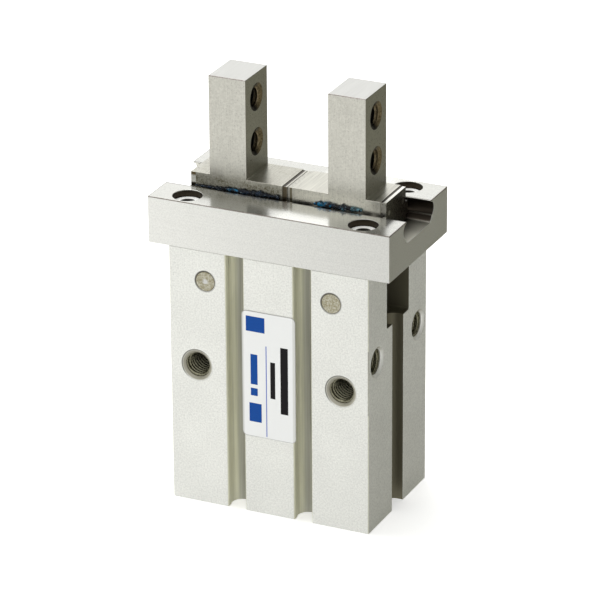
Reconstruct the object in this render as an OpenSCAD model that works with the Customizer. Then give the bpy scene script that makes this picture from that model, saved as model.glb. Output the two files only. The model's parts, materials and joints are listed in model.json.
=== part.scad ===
// Pneumatic parallel gripper. One piston turns two bell-crank levers, and the levers slide
// two fingers apart on a ball guide. It is drawn closed, with the piston at the bottom.
// Millimetres. +Z is up, the fingers travel along X, the front face looks along -Y, and the
// origin is the centre of the body's bottom face.

/* [Body] */
// Width of the body, along the finger travel
body_w = 41.6; // [41.2:0.2:44]
// Depth of the body and of the guide, front to back
depth = 27.6; // [27.4:0.2:30]
// Height of the body, up to the underside of the guide
body_h = 52.8; // [52.6:0.1:53.2]
// Width of the cavity that the levers swing in
cavity_w = 10.5; // [10.2:0.1:11]
// Height of the cavity's floor
cavity_z = 39.4; // [39:0.1:39.5]

/* [Guide] */
// Width of the guide block, along the finger travel
guide_w = 50; // [48:0.5:54]
// Thickness of the guide block
guide_h = 9.4; // [9.2:0.1:9.8]
// Depth of the channel that the fingers run in
channel_d = 4.4; // [4.2:0.1:4.6]
// Width of the channel below its lips
channel_w = 12.4; // [12.2:0.1:12.6]
// Diameter of the guide balls
ball_d = 3; // [2.9:0.05:3]

/* [Fingers] */
// How far each finger slides when the gripper opens
travel = 5; // [4:0.5:5]
// Free space between the closed finger posts
closed_gap = 17; // [16:0.5:18]
// Thickness of a finger post, along the travel
post_t = 7.7; // [7.5:0.1:8]
// Width of a finger, front to back
finger_w = 9.6; // [9.4:0.1:9.8]
// Height of a finger post above the finger's base
post_h = 20; // [18:0.5:30]
// How far a finger's base stands above the guide
base_rise = 2.6; // [2.2:0.1:3]

/* [Drive] */
// Diameter of the cylinder bore
bore_d = 20; // [19.8:0.1:20.2]
// Diameter of the piston rod
rod_d = 8; // [7.8:0.1:8]
// Distance from a lever's pivot to the lobe that moves the finger
long_arm = 13.3; // [13.2:0.1:13.4]
// Distance from a lever's pivot to the lobe that the joint moves
short_arm = 8.5; // [8.4:0.1:8.5]
// Distance between the two lever pivots
pivot_pitch = 26.2; // [26:0.1:26.4]
// Height of the lever pivots
pivot_z = 46.65; // [46.6:0.05:46.7]
// Diameter of a lever pivot pin
pin_d = 4; // [3.8:0.1:4]

/* [Interfaces] */
// Nominal diameter of the body's tapped holes and of the air ports
tap_d = 5; // [4:0.5:5]
// Distance between the tapped holes in the front and in the back
face_pitch = 30.2; // [29.8:0.1:30.4]
// Height of the tapped holes in the front and in the back
face_hole_z = 28.9; // [28.4:0.1:29]
// Distance between the tapped holes in the bottom, along X
bottom_pitch_x = 30; // [29:0.5:31]
// Distance between the tapped holes in the bottom, along Y
bottom_pitch_y = 16; // [15:0.5:16.5]
// Nominal diameter of the tapped holes in the fingers
jaw_tap_d = 4; // [3:0.5:4]
// Distance between the two tapped holes in a finger
jaw_pitch = 9; // [8:0.5:10]
// Distance between the two air ports
port_pitch = 19.4; // [18.8:0.2:19.8]
// Height of the air ports
port_z = 34.4; // [34.2:0.1:34.5]
// Diameter of the locating recess in the bottom
recess_d = 21; // [20.6:0.1:21.2]

/* [Hidden] */
$fn = 64;

// Clearances: a running fit, pieces fastened together, a pressed pin and a loose fit.
// Then the overshoot of a cut
run_gap = 0.03;
fit_gap = 0.02;
press_gap = 0.005;
loose_gap = 0.1;
past = 1;

// Outside of the body and its sensor grooves
front = -depth / 2;
edge_r = 0.4;
groove_x = 7.03;
groove_r = 2;
groove_depth = 2.15;
groove_mouth = 3.55;
groove_lip = 0.25;
side_groove_r = 2.65;
side_groove_depth = 3.6;

// Lever cavity
cavity_r = 0.5;

// Guide
guide_top = body_h + guide_h;
channel_floor = guide_top - channel_d;
channel_r = 1.3;
lip_w = 11.6;
lip_h = 0.35;
ball_y = 5.7;
ball_z = guide_top - 1.8;
ball_gap = 0.01;
ball_groove_r = ball_d / 2 + run_gap;
balls_in_row = 5;
lever_slot_w = 9;
lever_slot_d = 5.8;
lever_slot_r = 1;

// Screws that hold the guide: M3 socket head
screw_x = 18.2;
screw_y = 10.4;
m3_r = 1.5;
m3_clear_r = 1.7;
m3_depth = 7;
m3_head_r = 2.75;
m3_head_h = 3;
m3_key = 2.5;
counterbore_r = 2.9;
counterbore_d = 4.3;
screw_len = 12;

// Fingers
finger_top = guide_top + base_rise + post_h;
post_x = closed_gap / 2;
base_in = 1;
base_out = 19.2;
base_bottom = channel_floor + 0.3;
base_top = guide_top + base_rise;
jaw_end = 4.8;
jaw_z = finger_top - jaw_end - jaw_pitch / 2;
jaw_sink_r = 2.75;
sink_d = 0.4;

// Stoppers at the ends of a finger's base
stop_in = 0.05;
stop_out = 20.3;
stop_inset = 0.2;
ear_y = 5.5;
ear_h = 2.6;
stop_pin_r = 0.5;
stop_pin_y = 3.2;
stop_pin_z = guide_top + 0.1;
stop_pin_depth = 3;

// Levers
lever_swing = asin(travel / 2 / long_arm);
pivot_x = pivot_pitch / 2;
lever_t = 5;
boss_r = 3.6;
tip_r = 1.98;
lobe_r = 1.88;
lobe_gap = 0.05;
long_root = 2.4;
short_root = 2.2;
arm_half = 1.3;
tip_pocket_roof = 2.2;
tip_x = pivot_x - travel / 2;
lobe_z = pivot_z - short_arm * sin(lever_swing);
stroke = 2 * short_arm * sin(lever_swing);

// Joint between the rod and the levers
joint_x = 6;
joint_y = 4.7;
joint_web = 2.5;
joint_bottom = 39.7;
joint_top = 49.3;
joint_socket_r = 2.8;
joint_socket_d = 1;
joint_screw_len = 12;
joint_bore_len = 13;
joint_key = 2;
joint_key_d = 0.9;

// Cylinder, from the bottom up
bore_r = bore_d / 2;
recess_depth = 3;
ring_z = 4;
ring_t = 1.1;
ring_groove_r = bore_r + 0.6;
ring_play = 0.05;
ring_in = bore_r - 1.1;
ring_cut = [3.3, 13];
ring_eye_a = 14;
ring_eye_at = 8.3;
ring_eye_r = 1.5;
ring_eye_hole = 0.75;
cap_z = ring_z + ring_t;
cap_top = 12;
cap_groove_r = 8.2;
cap_groove_z = 8;
cap_groove_h = 2.1;
cap_cord_r = 0.88;
cap_hollow_r = 5.5;
cap_tap_d = 4.5;
piston_z = 13;
piston_top = 30.5;
bore_top = 35.2;
seal_pocket_r = 6;
seal_pocket_top = 37.8;
rod_seal_h = 2.4;
step_r = bore_r - 1;
step_h = 0.8;

// Piston, rod and the bolt between them
piston_r = bore_r - 0.1;
slide_r = bore_r - 0.04;
rod_r = rod_d / 2;
spigot_r = 2.98;
spigot_z = 22.5;
bolt_seat = 18;
bolt_r = 2;
bolt_clear = 0.15;
bolt_bore = 8.5;
bolt_head_r = 3.5;
bolt_head_clear = 0.3;
bolt_head_h = 4;
bolt_len = 12;
bolt_key = 3;
seal_z = 15.5;
seal_h = 3;
seal_in = 7.4;
magnet_z = 21;
magnet_h = 3;
magnet_in = 7;
wear_z = 26;
wear_h = 2.6;
wear_in = 8.8;
wear_split = 0.3;
seal_waist = 0.4;
bumper_in = 4.6;
bumper_out = 8.8;

// Air passages
passage_r = 0.8;
passage_x = 10.7;
port_depth = 5;
port_sink_r = 3.15;
tap_sink_r = 3.2;
tap_depth = 10;
drill_share = 0.84;
drill_past = 1.5;
plug_r = 1;
plug_z = 1.3;
plug_bore = 2.4;
port_run = 0.5;
closing_end = [7.4, -5.2];
opening_end = [6.8, 6];
opening_z = 15.4;

// Label
label_x0 = -5.5;
label_x1 = 5.7;
label_z0 = 16.2;
label_z1 = 42.3;
label_t = 0.12;
label_r = 1;

body_color = [0.87, 0.87, 0.84];
steel_color = [0.72, 0.71, 0.68];
dark_steel_color = [0.42, 0.41, 0.38];
rubber_color = [0.12, 0.12, 0.13];

// ---- Helpers ----

// A box between two corners
module box(lo, hi) translate(lo) cube(hi - lo);

// A cylinder along Z from z0 to z1
module z_rod(r, z0, z1, x = 0, y = 0) translate([x, y, z0]) cylinder(r = r, h = z1 - z0);

// A cylinder along Y from y0 to y1
module y_rod(r, y0, y1, x, z) translate([x, y1, z]) rotate([90, 0, 0]) cylinder(r = r, h = y1 - y0);

// A cylinder along X from x0 to x1
module x_rod(r, x0, x1, y, z) translate([x0, y, z]) rotate([0, 90, 0]) cylinder(r = r, h = x1 - x0);

// A cylinder between any two points
module rod_between(a, b, r) {
  v = b - a;
  flat = norm([v[0], v[1]]);
  translate(a) rotate([0, atan2(flat, v[2]), atan2(v[1], v[0])]) cylinder(r = r, h = norm(v));
}

// A profile drawn in Y and Z, extruded along X about the middle
module along_x(length) rotate([90, 0, 90]) linear_extrude(length, center = true) children();

// A profile drawn in X and Z, extruded along Y about the middle
module along_y(length) rotate([90, 0, 0]) linear_extrude(length, center = true) children();

// A rectangle with round corners
module round_rect(w, h, r) {
  square([w - 2 * r, h], center = true);
  square([w, h - 2 * r], center = true);
  for (x = [-1, 1], y = [-1, 1]) translate([x * (w / 2 - r), y * (h / 2 - r)]) circle(r = r);
}

// A ring about Z
module ring(inner, outer, z0, h) {
  translate([0, 0, z0]) rotate_extrude() translate([inner, 0]) square([outer - inner, h]);
}

// A blind tapped hole along Z with its mouth at z = 0, its countersink and its drilled end
module tapped(r, deep, sink_r) {
  z_rod(r, -deep, past);
  z_rod(r * drill_share, -deep - drill_past, 0);
  translate([0, 0, -sink_d]) cylinder(r1 = r, r2 = sink_r, h = sink_d);
}

// A hexagon socket, cut down from z = 0
module hex_socket(across_flats, deep) {
  translate([0, 0, -deep]) cylinder(r = across_flats / sqrt(3), h = deep + past, $fn = 6);
}

// The pieces of the right side, drawn again on the left
module on_left() mirror([1, 0, 0]) children();

// ---- Body ----

// A sensor groove in the front or the back. Its mouth is at y = 0 and it is cut towards +Y
module groove_profile() {
  translate([0, groove_depth]) circle(r = groove_r);
  translate([-groove_mouth / 2, -past]) square([groove_mouth, past + groove_depth]);
  wide = groove_mouth / 2 + groove_lip;
  polygon([[-wide, 0], [-wide, -past], [wide, -past], [wide, 0],
    [groove_mouth / 2, groove_lip], [-groove_mouth / 2, groove_lip]]);
}

// The wider, U-shaped groove in each side, drawn the same way
module side_groove_profile() {
  floor_y = side_groove_depth - side_groove_r;
  translate([0, floor_y]) circle(r = side_groove_r);
  translate([-side_groove_r, -past]) square([2 * side_groove_r, past + floor_y]);
}

module body_profile() {
  difference() {
    round_rect(body_w, depth, edge_r);
    for (side = [0, 180]) rotate(side) {
      for (x = [-1, 1]) translate([x * groove_x, front]) groove_profile();
      rotate(90) translate([0, -body_w / 2]) side_groove_profile();
    }
  }
}

module cavity_profile() {
  half = cavity_w / 2;
  translate([-half, cavity_z + cavity_r]) square([cavity_w, body_h]);
  translate([-half + cavity_r, cavity_z]) square([cavity_w - 2 * cavity_r, body_h]);
  for (y = [-1, 1]) translate([y * (half - cavity_r), cavity_z + cavity_r]) circle(r = cavity_r);
}

// The stepped bore, from the locating recess up to the rod's hole
module cylinder_space() {
  z_rod(recess_d / 2, -past, recess_depth);
  z_rod(bore_r, 0, bore_top);
  z_rod(ring_groove_r, ring_z, cap_z);
  z_rod(seal_pocket_r, bore_top - past, seal_pocket_top);
  z_rod(rod_r + run_gap, bore_top, cavity_z + past);
}

// Ports on the right, the short passage to the upper chamber and the long one to the lower
module air_passages() {
  port_y = port_pitch / 2;
  port_end = body_w / 2 - port_depth - drill_past;
  for (y = [-port_y, port_y]) {
    translate([body_w / 2, y, port_z]) rotate([0, 90, 0]) tapped(tap_d / 2, port_depth, port_sink_r);
  }
  rod_between([port_end + port_run, -port_y, port_z], [closing_end[0], closing_end[1], port_z], passage_r);
  x_rod(passage_r, passage_x, port_end + port_run, port_y, port_z);
  z_rod(passage_r, 0, port_z, passage_x, port_y);
  z_rod(plug_r, -past, plug_bore, passage_x, port_y);
  rod_between([passage_x, port_y, opening_z], [opening_end[0], opening_end[1], cap_top], passage_r);
}

module body() {
  color(body_color) difference() {
    linear_extrude(body_h) body_profile();
    along_x(body_w + 2 * past) cavity_profile();
    cylinder_space();
    air_passages();
    for (x = [-pivot_x, pivot_x]) y_rod(pin_d / 2, front - past, -front + past, x, pivot_z);
    for (x = [-1, 1], y = [-1, 1]) {
      z_rod(m3_r, body_h - m3_depth, body_h + past, x * screw_x, y * screw_y);
      translate([x * bottom_pitch_x / 2, y * bottom_pitch_y / 2, 0]) rotate([180, 0, 0])
        tapped(tap_d / 2, tap_depth, tap_sink_r);
      translate([x * face_pitch / 2, -y * front, face_hole_z]) rotate([-y * 90, 0, 0])
        tapped(tap_d / 2, tap_depth, tap_sink_r);
    }
  }
}

module label() {
  color([0.96, 0.97, 0.97]) translate([(label_x0 + label_x1) / 2, front, (label_z0 + label_z1) / 2])
    rotate([90, 0, 0]) linear_extrude(label_t)
    round_rect(label_x1 - label_x0, label_z1 - label_z0, label_r);
}

// ---- Guide ----

module channel_profile() {
  half = channel_w / 2;
  lip_z = guide_top - lip_h;
  translate([-half, channel_floor + channel_r]) square([channel_w, lip_z - channel_floor - channel_r]);
  translate([-half + channel_r, channel_floor]) square([channel_w - 2 * channel_r, channel_d - lip_h]);
  translate([-lip_w / 2, lip_z - past]) square([lip_w, lip_h + 2 * past]);
  for (y = [-1, 1]) {
    translate([y * (half - channel_r), channel_floor + channel_r]) circle(r = channel_r);
    translate([y * ball_y, ball_z]) circle(r = ball_groove_r);
  }
}

// Where a lever's long arm comes up through the guide's floor
module lever_slot() {
  translate([pivot_x, 0, body_h - past]) linear_extrude(guide_h)
    round_rect(lever_slot_w, lever_slot_d, lever_slot_r);
}

module guide() {
  color(body_color) difference() {
    translate([0, 0, body_h]) linear_extrude(guide_h) round_rect(guide_w, depth, edge_r / 2);
    along_x(guide_w + 2 * past) channel_profile();
    lever_slot();
    on_left() lever_slot();
    for (x = [-screw_x, screw_x], y = [-screw_y, screw_y]) {
      z_rod(m3_clear_r, body_h - past, guide_top, x, y);
      z_rod(counterbore_r, guide_top - counterbore_d, guide_top + past, x, y);
    }
  }
}

module guide_screw() {
  seat = guide_top - counterbore_d;
  difference() {
    union() {
      z_rod(m3_r - fit_gap, seat - screw_len, seat);
      z_rod(m3_head_r, seat, seat + m3_head_h);
    }
    translate([0, 0, seat + m3_head_h]) hex_socket(m3_key, m3_head_h / 2);
  }
}

module guide_screws() {
  for (x = [-screw_x, screw_x], y = [-screw_y, screw_y]) {
    color(steel_color) translate([x, y, 0]) guide_screw();
  }
}

// ---- Fingers, drawn on the right ----

module finger() {
  half = finger_w / 2;
  color(steel_color) difference() {
    union() {
      box([base_in, -half, base_bottom], [base_out, half, base_top]);
      box([post_x, -half, base_top - past], [post_x + post_t, half, finger_top]);
    }
    box([tip_x - tip_r - lobe_gap, -lever_t / 2 - loose_gap, base_bottom - past],
      [tip_x + tip_r + lobe_gap, lever_t / 2 + loose_gap, base_top - tip_pocket_roof]);
    for (y = [-ball_y, ball_y]) x_rod(ball_groove_r, base_in - past, base_out + past, y, ball_z);
    for (z = [-jaw_pitch / 2, jaw_pitch / 2]) translate([post_x, 0, jaw_z + z]) rotate([0, 90, 0]) {
      z_rod(jaw_tap_d / 2, -past, post_t + past);
      translate([0, 0, post_t - sink_d]) cylinder(r1 = jaw_tap_d / 2, r2 = jaw_sink_r, h = sink_d);
      cylinder(r1 = jaw_sink_r, r2 = jaw_tap_d / 2, h = sink_d);
    }
    for (y = [-stop_pin_y, stop_pin_y]) {
      x_rod(stop_pin_r, base_in - past, base_in + stop_pin_depth, y, stop_pin_z);
      x_rod(stop_pin_r, base_out - stop_pin_depth, base_out + past, y, stop_pin_z);
    }
  }
}

// A plate over the end of a finger's base, with an ear in front of each row of balls
module stopper(x0, x1) {
  half = finger_w / 2 - stop_inset;
  color(dark_steel_color) difference() {
    union() {
      box([x0, -half, base_bottom], [x1, half, base_top - stop_inset / 2]);
      box([x0, -ear_y, ball_z - ear_h / 2], [x1, ear_y, ball_z + ear_h / 2]);
    }
    for (y = [-stop_pin_y, stop_pin_y]) x_rod(stop_pin_r, x0 - past, x1 + past, y, stop_pin_z);
  }
}

module inner_stopper() stopper(stop_in, base_in);
module outer_stopper() stopper(base_out, stop_out);

module stopper_pins() {
  r = stop_pin_r - fit_gap;
  for (y = [-stop_pin_y, stop_pin_y]) color(steel_color) {
    x_rod(r, stop_in, base_in + stop_pin_depth - loose_gap, y, stop_pin_z);
    x_rod(r, base_out - stop_pin_depth + loose_gap, stop_out, y, stop_pin_z);
  }
}

// Both rows stand against the outer stopper when the fingers are closed
module guide_balls() {
  for (y = [-ball_y, ball_y], i = [0 : balls_in_row - 1]) {
    color(steel_color) translate([base_out - loose_gap - ball_d * (i + 0.5), y, ball_z])
      sphere(d = ball_d - ball_gap);
  }
}

// ---- Levers, drawn on the right ----

// The lever half way through its swing, about its pivot
module lever_profile() {
  difference() {
    union() {
      circle(r = boss_r);
      polygon([[-long_root, 0], [long_root, 0], [arm_half, long_arm], [-arm_half, long_arm]]);
      translate([0, long_arm]) circle(r = tip_r);
      polygon([[0, -short_root], [0, short_root], [-short_arm, arm_half], [-short_arm, -arm_half]]);
      translate([-short_arm, 0]) circle(r = lobe_r);
    }
    circle(r = pin_d / 2 + run_gap);
  }
}

module lever() {
  color(dark_steel_color) translate([pivot_x, 0, pivot_z]) along_y(lever_t)
    rotate(lever_swing) lever_profile();
}

module lever_pin() {
  color(steel_color) y_rod(pin_d / 2 - press_gap, front, -front, pivot_x, pivot_z);
}

// ---- Joint, rod and piston ----

module joint() {
  slot_half = lobe_r + lobe_gap;
  color(dark_steel_color) difference() {
    box([-joint_x, -joint_y, joint_bottom], [joint_x, joint_y, joint_top]);
    for (x = [-1, 1]) translate([x * (joint_web + joint_x), 0, lobe_z])
      cube([2 * joint_x, 3 * joint_y, 2 * slot_half], center = true);
    z_rod(m3_r + loose_gap, joint_bottom, joint_top);
    z_rod(joint_socket_r + fit_gap, joint_bottom - past, joint_bottom + joint_socket_d + fit_gap);
    translate([0, 0, joint_top - m3_r]) cylinder(r1 = m3_r, r2 = 2 * m3_r, h = m3_r);
  }
}

module joint_screw() {
  color(steel_color) difference() {
    union() {
      z_rod(m3_r - fit_gap, joint_top - m3_r - joint_screw_len, joint_top - m3_r);
      translate([0, 0, joint_top - m3_r])
        cylinder(r1 = m3_r - fit_gap, r2 = 2 * m3_r - fit_gap, h = m3_r);
    }
    translate([0, 0, joint_top]) hex_socket(joint_key, joint_key_d);
  }
}

module piston_rod() {
  color(steel_color) difference() {
    union() {
      z_rod(spigot_r, spigot_z, piston_top);
      z_rod(rod_r, piston_top, joint_bottom);
      z_rod(joint_socket_r, joint_bottom, joint_bottom + joint_socket_d);
    }
    z_rod(bolt_r, spigot_z - past, spigot_z + bolt_bore);
    z_rod(m3_r, joint_top - m3_r - joint_bore_len, joint_top);
  }
}

module piston() {
  color([0.62, 0.64, 0.66]) difference() {
    z_rod(piston_r, piston_z, piston_top);
    for (z = [piston_z - past, piston_top - step_h]) ring(step_r, bore_r + past, z, past + step_h);
    ring(seal_in, bore_r + past, seal_z - fit_gap, seal_h + 2 * fit_gap);
    ring(magnet_in, bore_r + past, magnet_z - fit_gap, magnet_h + 2 * fit_gap);
    ring(wear_in, bore_r + past, wear_z - fit_gap, wear_h + 2 * fit_gap);
    z_rod(bolt_head_r + bolt_head_clear, piston_z - past, bolt_seat);
    z_rod(bolt_r + bolt_clear, bolt_seat - past, spigot_z + past);
    z_rod(spigot_r + fit_gap, spigot_z, piston_top + past);
  }
}

module piston_bolt() {
  color(dark_steel_color) difference() {
    union() {
      z_rod(bolt_head_r, bolt_seat - bolt_head_h, bolt_seat);
      z_rod(bolt_r - fit_gap, bolt_seat, bolt_seat + bolt_len);
    }
    translate([0, 0, bolt_seat - bolt_head_h]) rotate([180, 0, 0]) hex_socket(bolt_key, bolt_head_h / 2);
  }
}

// A seal ring with two lips on its outer side, or on its inner side for the rod
module lip_seal(root_r, lip_r, z0, h) {
  waist = lip_r - seal_waist * sign(lip_r - root_r);
  color(rubber_color) rotate_extrude() polygon([
    [root_r, z0], [waist, z0], [lip_r, z0 + 0.2 * h], [lip_r, z0 + 0.32 * h], [waist, z0 + 0.5 * h],
    [lip_r, z0 + 0.68 * h], [lip_r, z0 + 0.8 * h], [waist, z0 + h], [root_r, z0 + h]
  ]);
}

module piston_seal() lip_seal(seal_in + fit_gap, bore_r - run_gap, seal_z, seal_h);
module rod_seal() lip_seal(seal_pocket_r - fit_gap, rod_r + run_gap, bore_top + loose_gap, rod_seal_h);
module magnet() color([0.2, 0.2, 0.22]) ring(magnet_in + fit_gap, piston_r - loose_gap, magnet_z, magnet_h);

// A guide ring, split so that it can be sprung into its groove
module wear_ring() {
  color([0.35, 0.27, 0.2]) difference() {
    ring(wear_in + fit_gap, slide_r, wear_z, wear_h);
    box([wear_in - past, -wear_split, wear_z - past], [bore_r + past, wear_split, wear_z + wear_h + past]);
  }
}

module upper_bumper() {
  low = piston_top + stroke + fit_gap;
  color([0.75, 0.6, 0.3]) ring(bumper_in, bumper_out, low, bore_top - fit_gap - low);
}

module lower_bumper() {
  low = cap_top - step_h;
  color([0.75, 0.6, 0.3]) ring(bumper_in, bumper_out - step_h, low, piston_z - fit_gap - low);
}

// ---- Bottom of the cylinder ----

module end_cap() {
  color([0.55, 0.56, 0.57]) difference() {
    z_rod(bore_r - fit_gap, cap_z, cap_top);
    ring(step_r, bore_r + past, cap_top - step_h, step_h + past);
    ring(cap_groove_r, bore_r + past, cap_groove_z, cap_groove_h);
    ring(bumper_in - fit_gap, bumper_out - step_h + fit_gap, cap_top - step_h, step_h + past);
    z_rod(cap_hollow_r, cap_z - past, cap_z + step_h);
    z_rod(m3_r, cap_z, cap_z + cap_tap_d);
  }
}

module cap_seal() {
  color(rubber_color) translate([0, 0, cap_groove_z + cap_groove_h / 2]) rotate_extrude()
    translate([bore_r - run_gap - cap_cord_r, 0]) circle(r = cap_cord_r);
}

// A retaining ring with a gap at the front and an eye on each side of it
module retaining_ring() {
  color(dark_steel_color) translate([0, 0, ring_z + ring_play]) linear_extrude(ring_t - ring_play)
    difference() {
      union() {
        difference() {
          circle(r = ring_groove_r - ring_play);
          circle(r = ring_in);
          polygon([[0, 0], [-ring_cut[0], -ring_cut[1]], [ring_cut[0], -ring_cut[1]]]);
        }
        for (a = [-ring_eye_a, ring_eye_a]) rotate(a) translate([0, -ring_eye_at]) circle(r = ring_eye_r);
      }
      for (a = [-ring_eye_a, ring_eye_a]) rotate(a) translate([0, -ring_eye_at]) circle(r = ring_eye_hole);
    }
}

module passage_plug() {
  color(steel_color) translate([passage_x, port_pitch / 2, plug_z]) sphere(r = plug_r - ball_gap);
}

body();
guide();
guide_screws();
label();
on_left() finger();  // left_finger
finger();  // right_finger
on_left() inner_stopper();  // left_inner_stopper
on_left() outer_stopper();  // left_outer_stopper
inner_stopper();  // right_inner_stopper
outer_stopper();  // right_outer_stopper
on_left() stopper_pins();  // left_stopper_pins
stopper_pins();  // right_stopper_pins
on_left() guide_balls();  // left_guide_balls
guide_balls();  // right_guide_balls
on_left() lever();  // left_lever
lever();  // right_lever
on_left() lever_pin();  // left_lever_pin
lever_pin();  // right_lever_pin
joint();
joint_screw();
piston_rod();
piston();
piston_bolt();
piston_seal();
wear_ring();
magnet();
upper_bumper();
rod_seal();
lower_bumper();
end_cap();
cap_seal();
retaining_ring();
passage_plug();
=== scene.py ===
import json
import math

import bmesh
import bpy
from mathutils import Matrix, Vector, noise


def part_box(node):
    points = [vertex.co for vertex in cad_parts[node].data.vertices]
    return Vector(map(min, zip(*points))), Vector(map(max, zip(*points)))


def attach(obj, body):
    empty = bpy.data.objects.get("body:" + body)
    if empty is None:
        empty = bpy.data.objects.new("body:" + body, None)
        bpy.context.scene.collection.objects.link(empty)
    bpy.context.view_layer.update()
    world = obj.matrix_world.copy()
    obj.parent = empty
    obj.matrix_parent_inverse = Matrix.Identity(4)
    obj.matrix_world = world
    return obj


MM = 0.001

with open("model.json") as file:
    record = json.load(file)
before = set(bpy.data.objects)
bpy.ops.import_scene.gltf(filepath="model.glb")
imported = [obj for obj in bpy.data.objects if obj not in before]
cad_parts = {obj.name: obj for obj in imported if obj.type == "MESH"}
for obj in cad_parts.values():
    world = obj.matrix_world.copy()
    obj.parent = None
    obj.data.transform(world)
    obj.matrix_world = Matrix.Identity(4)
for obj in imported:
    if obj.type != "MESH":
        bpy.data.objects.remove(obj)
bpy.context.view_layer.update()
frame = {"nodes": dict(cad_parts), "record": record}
scene = bpy.context.scene
nodes = frame["nodes"]
mounts = {m["name"]: m for m in frame["record"]["mounts"]}


# ---- Places that come from the frame ----


def mm(place):
    return [v / MM for v in place]


# Corners of the boxes around single pieces, in metres
body_lo, body_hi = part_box("body")
guide_lo, guide_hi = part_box("guide")
label_lo, label_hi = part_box("label")
pin_lo, pin_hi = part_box("right_lever_pin")
finger_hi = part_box("right_finger")[1]
screw_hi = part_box("guide_screws")[1]

# Everything below in this section is in millimetres
TOP = guide_hi.z / MM
FINGER_TOP = finger_hi.z / MM
FINGER_Y = finger_hi.y / MM
BODY_X, BODY_Y, _ = mm(body_hi)

PIN_X, PIN_Z = (pin_lo.x + pin_hi.x) / 2 / MM, (pin_lo.z + pin_hi.z) / 2 / MM
PIN_R = (pin_hi.x - pin_lo.x) / 2 / MM

# Tapped holes in the front and back, and the air ports
TAP_X, _, TAP_Z = mm(mounts["front_right_hole"]["pos_m"])
TAP_R = mounts["front_right_hole"]["dims"]["r_mm"]
_, PORT_Y, PORT_Z = mm(mounts["opening_port"]["pos_m"])

# Finger posts, from their inner to their outer face, and the tapped holes through them
POST_OUT, _, JAW_Z = mm(mounts["right_finger_holes"]["pos_m"])
POST_IN = mounts["right_finger_face"]["pos_m"][0] / MM
POST_X, POST_T = (POST_OUT + POST_IN) / 2, POST_OUT - POST_IN
JAW_PITCH = mounts["right_finger_holes"]["dims"]["spacing_y_mm"]
JAW_R = mounts["right_finger_holes"]["dims"]["hole_r_mm"]

SCREW_HEAD_R = 2.75
SCREW_X, SCREW_Y = screw_hi.x / MM - SCREW_HEAD_R, screw_hi.y / MM - SCREW_HEAD_R
SCREW_TOP = screw_hi.z / MM


# ---- Colours ----

BODY_TONE = (0.80, 0.805, 0.765)
GROOVE_TONE = (0.79, 0.785, 0.655)
SINK_TONE = (0.52, 0.50, 0.41)
# The hole and cavity tones are painted shade in the body's hollows, over the olive tint of bare metal.
HOLE_TONE = (0.30, 0.29, 0.20)
CAVITY_SHADE = (0.13, 0.12, 0.08)
GUIDE_TONE = (0.77, 0.77, 0.735)
STEEL_TONE = (0.60, 0.59, 0.53)
STOPPER_TONE = (0.5, 0.49, 0.44)
FILM_TONE = (0.77, 0.78, 0.775)


def tint(color, factor):
    return tuple(min(1.0, c * factor) for c in color)


# ---- Node helpers ----


class Graph:
    """A node tree and short ways to add to it. A value is a number, a colour or another node's output."""

    def __init__(self, tree):
        self.tree = tree

    def add(self, kind, **settings):
        node = self.tree.nodes.new(kind)
        for key, value in settings.items():
            setattr(node, key, value)
        return node

    def link(self, a, b):
        self.tree.links.new(a, b)

    def feed(self, socket, value):
        if hasattr(value, "node"):
            self.link(value, socket)
        elif isinstance(value, tuple):
            socket.default_value = (*value, 1)
        else:
            socket.default_value = value

    def math(self, operation, a, b=0.0):
        node = self.add("ShaderNodeMath", operation=operation)
        self.feed(node.inputs[0], a)
        self.feed(node.inputs[1], b)
        return node.outputs[0]

    def plus(self, a, b):
        return self.math("ADD", a, b)

    def minus(self, a, b):
        return self.math("SUBTRACT", a, b)

    def times(self, a, b):
        return self.math("MULTIPLY", a, b)

    def size_of(self, value):
        return self.math("ABSOLUTE", value)

    def both(self, a, b):
        """1 where two masks are 1."""
        return self.times(a, b)

    def either(self, a, b):
        """1 where one of two masks is 1."""
        return self.math("MAXIMUM", a, b)

    def spread(self, value, lo, hi, out_lo=0.0, out_hi=1.0, curve="LINEAR"):
        """Maps lo to out_lo and hi to out_hi, and stays level beyond them. lo may be above hi."""
        node = self.add("ShaderNodeMapRange", interpolation_type=curve)
        for key, v in (("From Min", lo), ("From Max", hi), ("To Min", out_lo), ("To Max", out_hi)):
            node.inputs[key].default_value = v
        self.link(value, node.inputs["Value"])
        return node.outputs[0]

    def within(self, value, reach, soft=0.15):
        """1 where the size of a value is below reach, 0 above it."""
        return self.spread(self.size_of(value), reach, reach + soft, 1.0, 0.0)

    def mix(self, factor, a, b):
        """a where the factor is 0, b where it is 1."""
        node = self.add("ShaderNodeMix", data_type="RGBA")
        for key, value in (("Factor", factor), ("A", a), ("B", b)):
            self.feed(node.inputs[key], value)
        return node.outputs["Result"]

    def dimmed(self, color, factor):
        node = self.add("ShaderNodeVectorMath", operation="SCALE")
        self.link(color, node.inputs[0])
        self.link(factor, node.inputs["Scale"])
        return node.outputs[0]


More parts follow.
